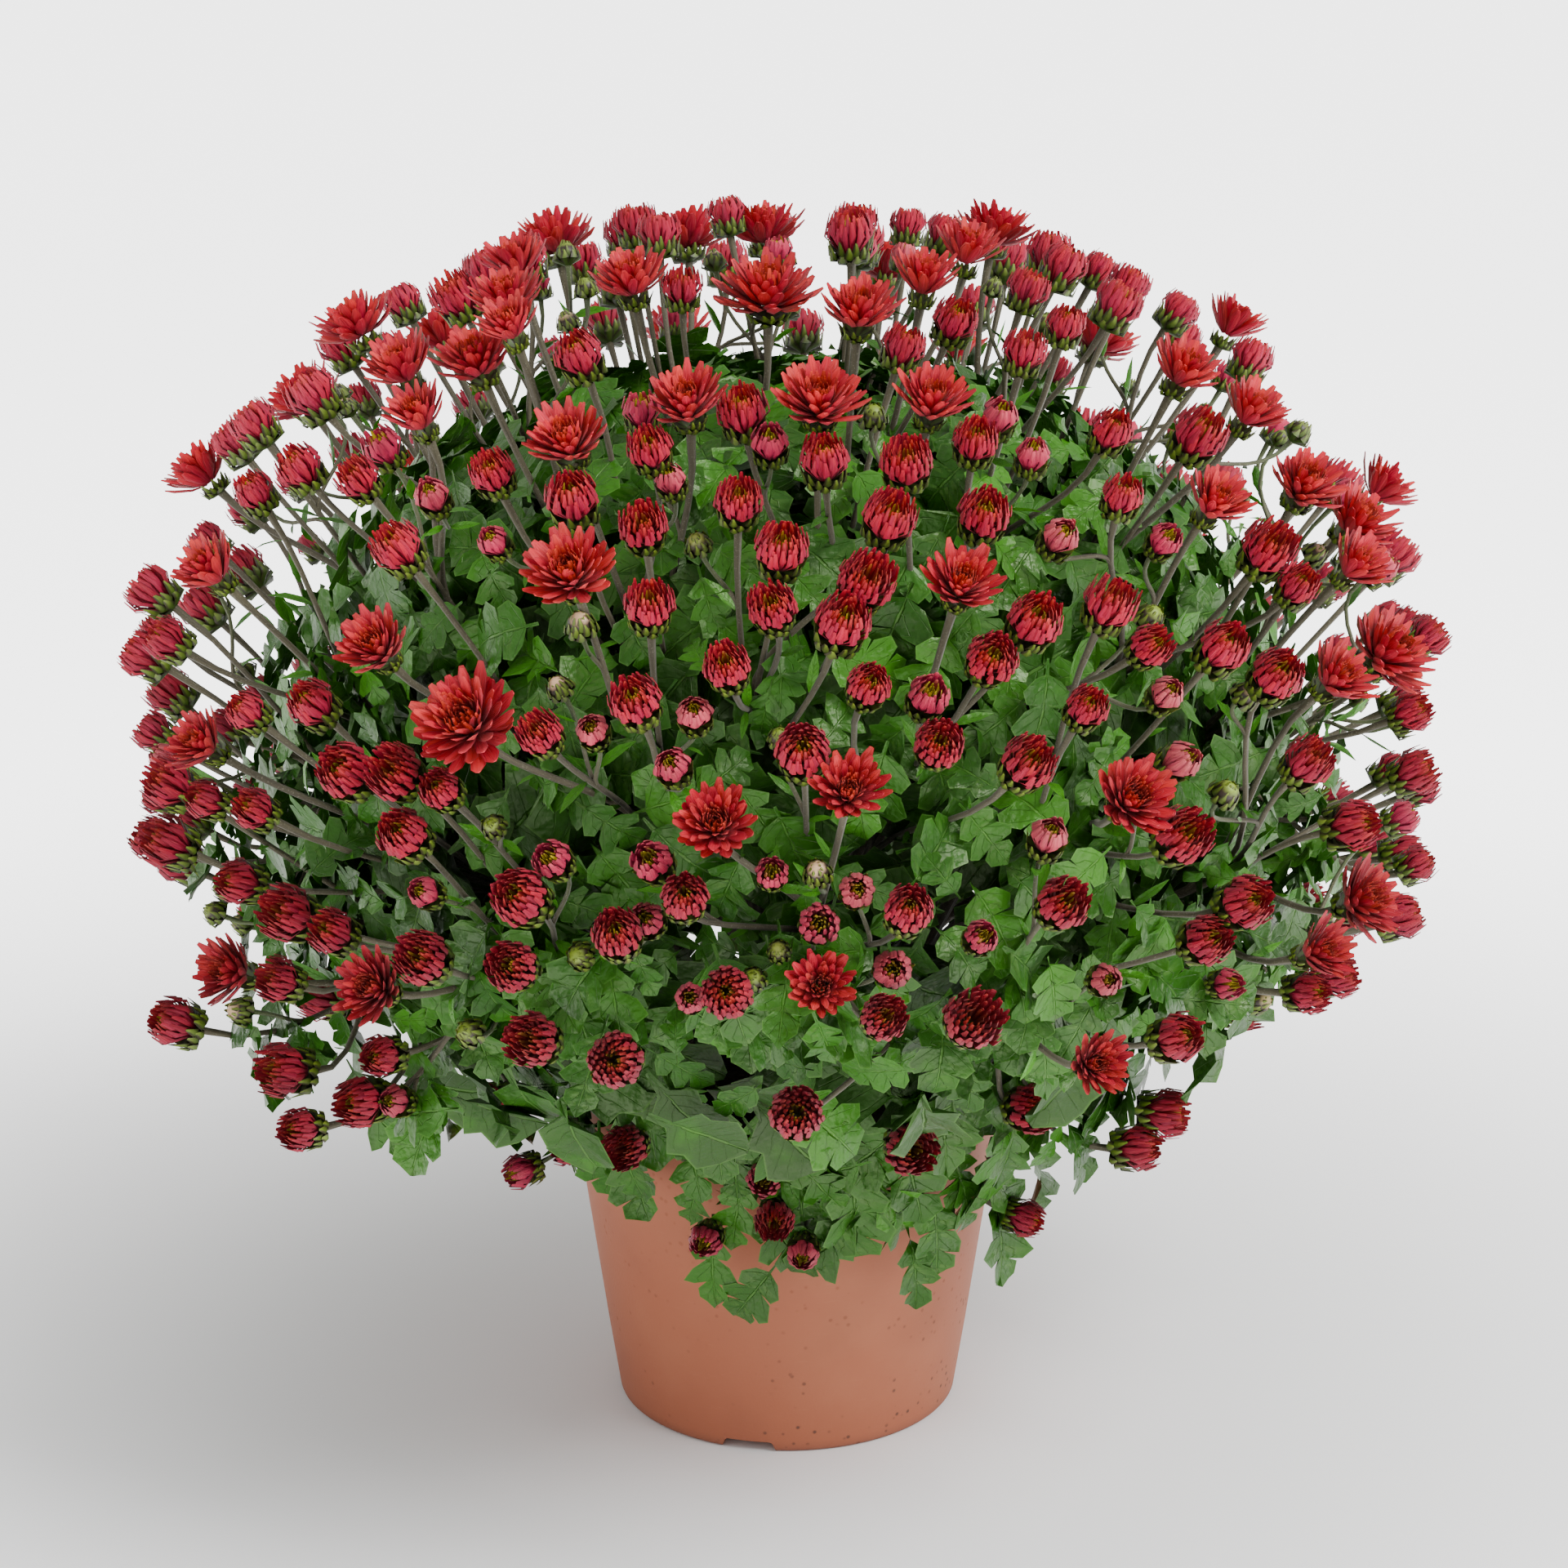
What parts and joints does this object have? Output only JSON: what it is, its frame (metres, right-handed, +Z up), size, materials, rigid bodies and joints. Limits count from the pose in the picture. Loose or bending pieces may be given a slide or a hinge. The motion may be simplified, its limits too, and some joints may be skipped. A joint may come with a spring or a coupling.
{
  "type": "potted garden chrysanthemum",
  "caption": "Bushy pot chrysanthemum in a round plastic nursery pot: a dome of red blooms, half-open cups and buds on branching stems above lobed green leaves.",
  "frame": {"origin": "middle of the pot's foot, on the surface that it stands on", "axes": "+Z up along the pot's axis; -Y is the side that faces the picture's camera; +X is that camera's right"},
  "size_m": [0.5415, 0.549, 0.5113],
  "materials": {
    "pot": "matte moulded terracotta-coloured plastic",
    "soil": "moist peat and bark potting soil",
    "foliage": "slightly glossy leaves, downy stems, crimson half-open heads",
    "petals": "velvety red petals"
  },
  "bodies": {
    "root": {"pot": "pot", "soil": "soil", "leafy_shoot_centre": "foliage", "leafy_shoot_front": "foliage", "leafy_shoot_front_right": "foliage", "leafy_shoot_back_right": "foliage", "leafy_shoot_back": "foliage", "leafy_shoot_back_left": "foliage", "leafy_shoot_front_left": "foliage", "bloom_01": "petals", "bloom_02": "petals", "bloom_03": "petals", "bloom_04": "petals", "bloom_05": "petals", "bloom_06": "petals", "bloom_07": "petals", "bloom_08": "petals", "bloom_09": "petals", "bloom_10": "petals", "bloom_11": "petals", "bloom_12": "petals", "bloom_13": "petals", "bloom_14": "petals", "bloom_15": "petals", "bloom_16": "petals", "bloom_17": "petals", "bloom_18": "petals", "bloom_19": "petals", "bloom_20": "petals", "bloom_21": "petals", "bloom_22": "petals", "bloom_23": "petals", "bloom_24": "petals", "bloom_25": "petals", "bloom_26": "petals", "bloom_27": "petals", "bloom_28": "petals", "bloom_29": "petals", "bloom_30": "petals", "bloom_31": "petals", "bloom_32": "petals", "bloom_33": "petals", "bloom_34": "petals", "bloom_35": "petals", "bloom_36": "petals", "bloom_37": "petals", "bloom_38": "petals", "bloom_39": "petals", "bloom_40": "petals", "bloom_41": "petals", "bloom_42": "petals", "bloom_43": "petals", "bloom_44": "petals", "bloom_45": "petals", "bloom_46": "petals", "bloom_47": "petals", "bloom_48": "petals", "bloom_49": "petals", "bloom_50": "petals"}
  },
  "joints": []
}
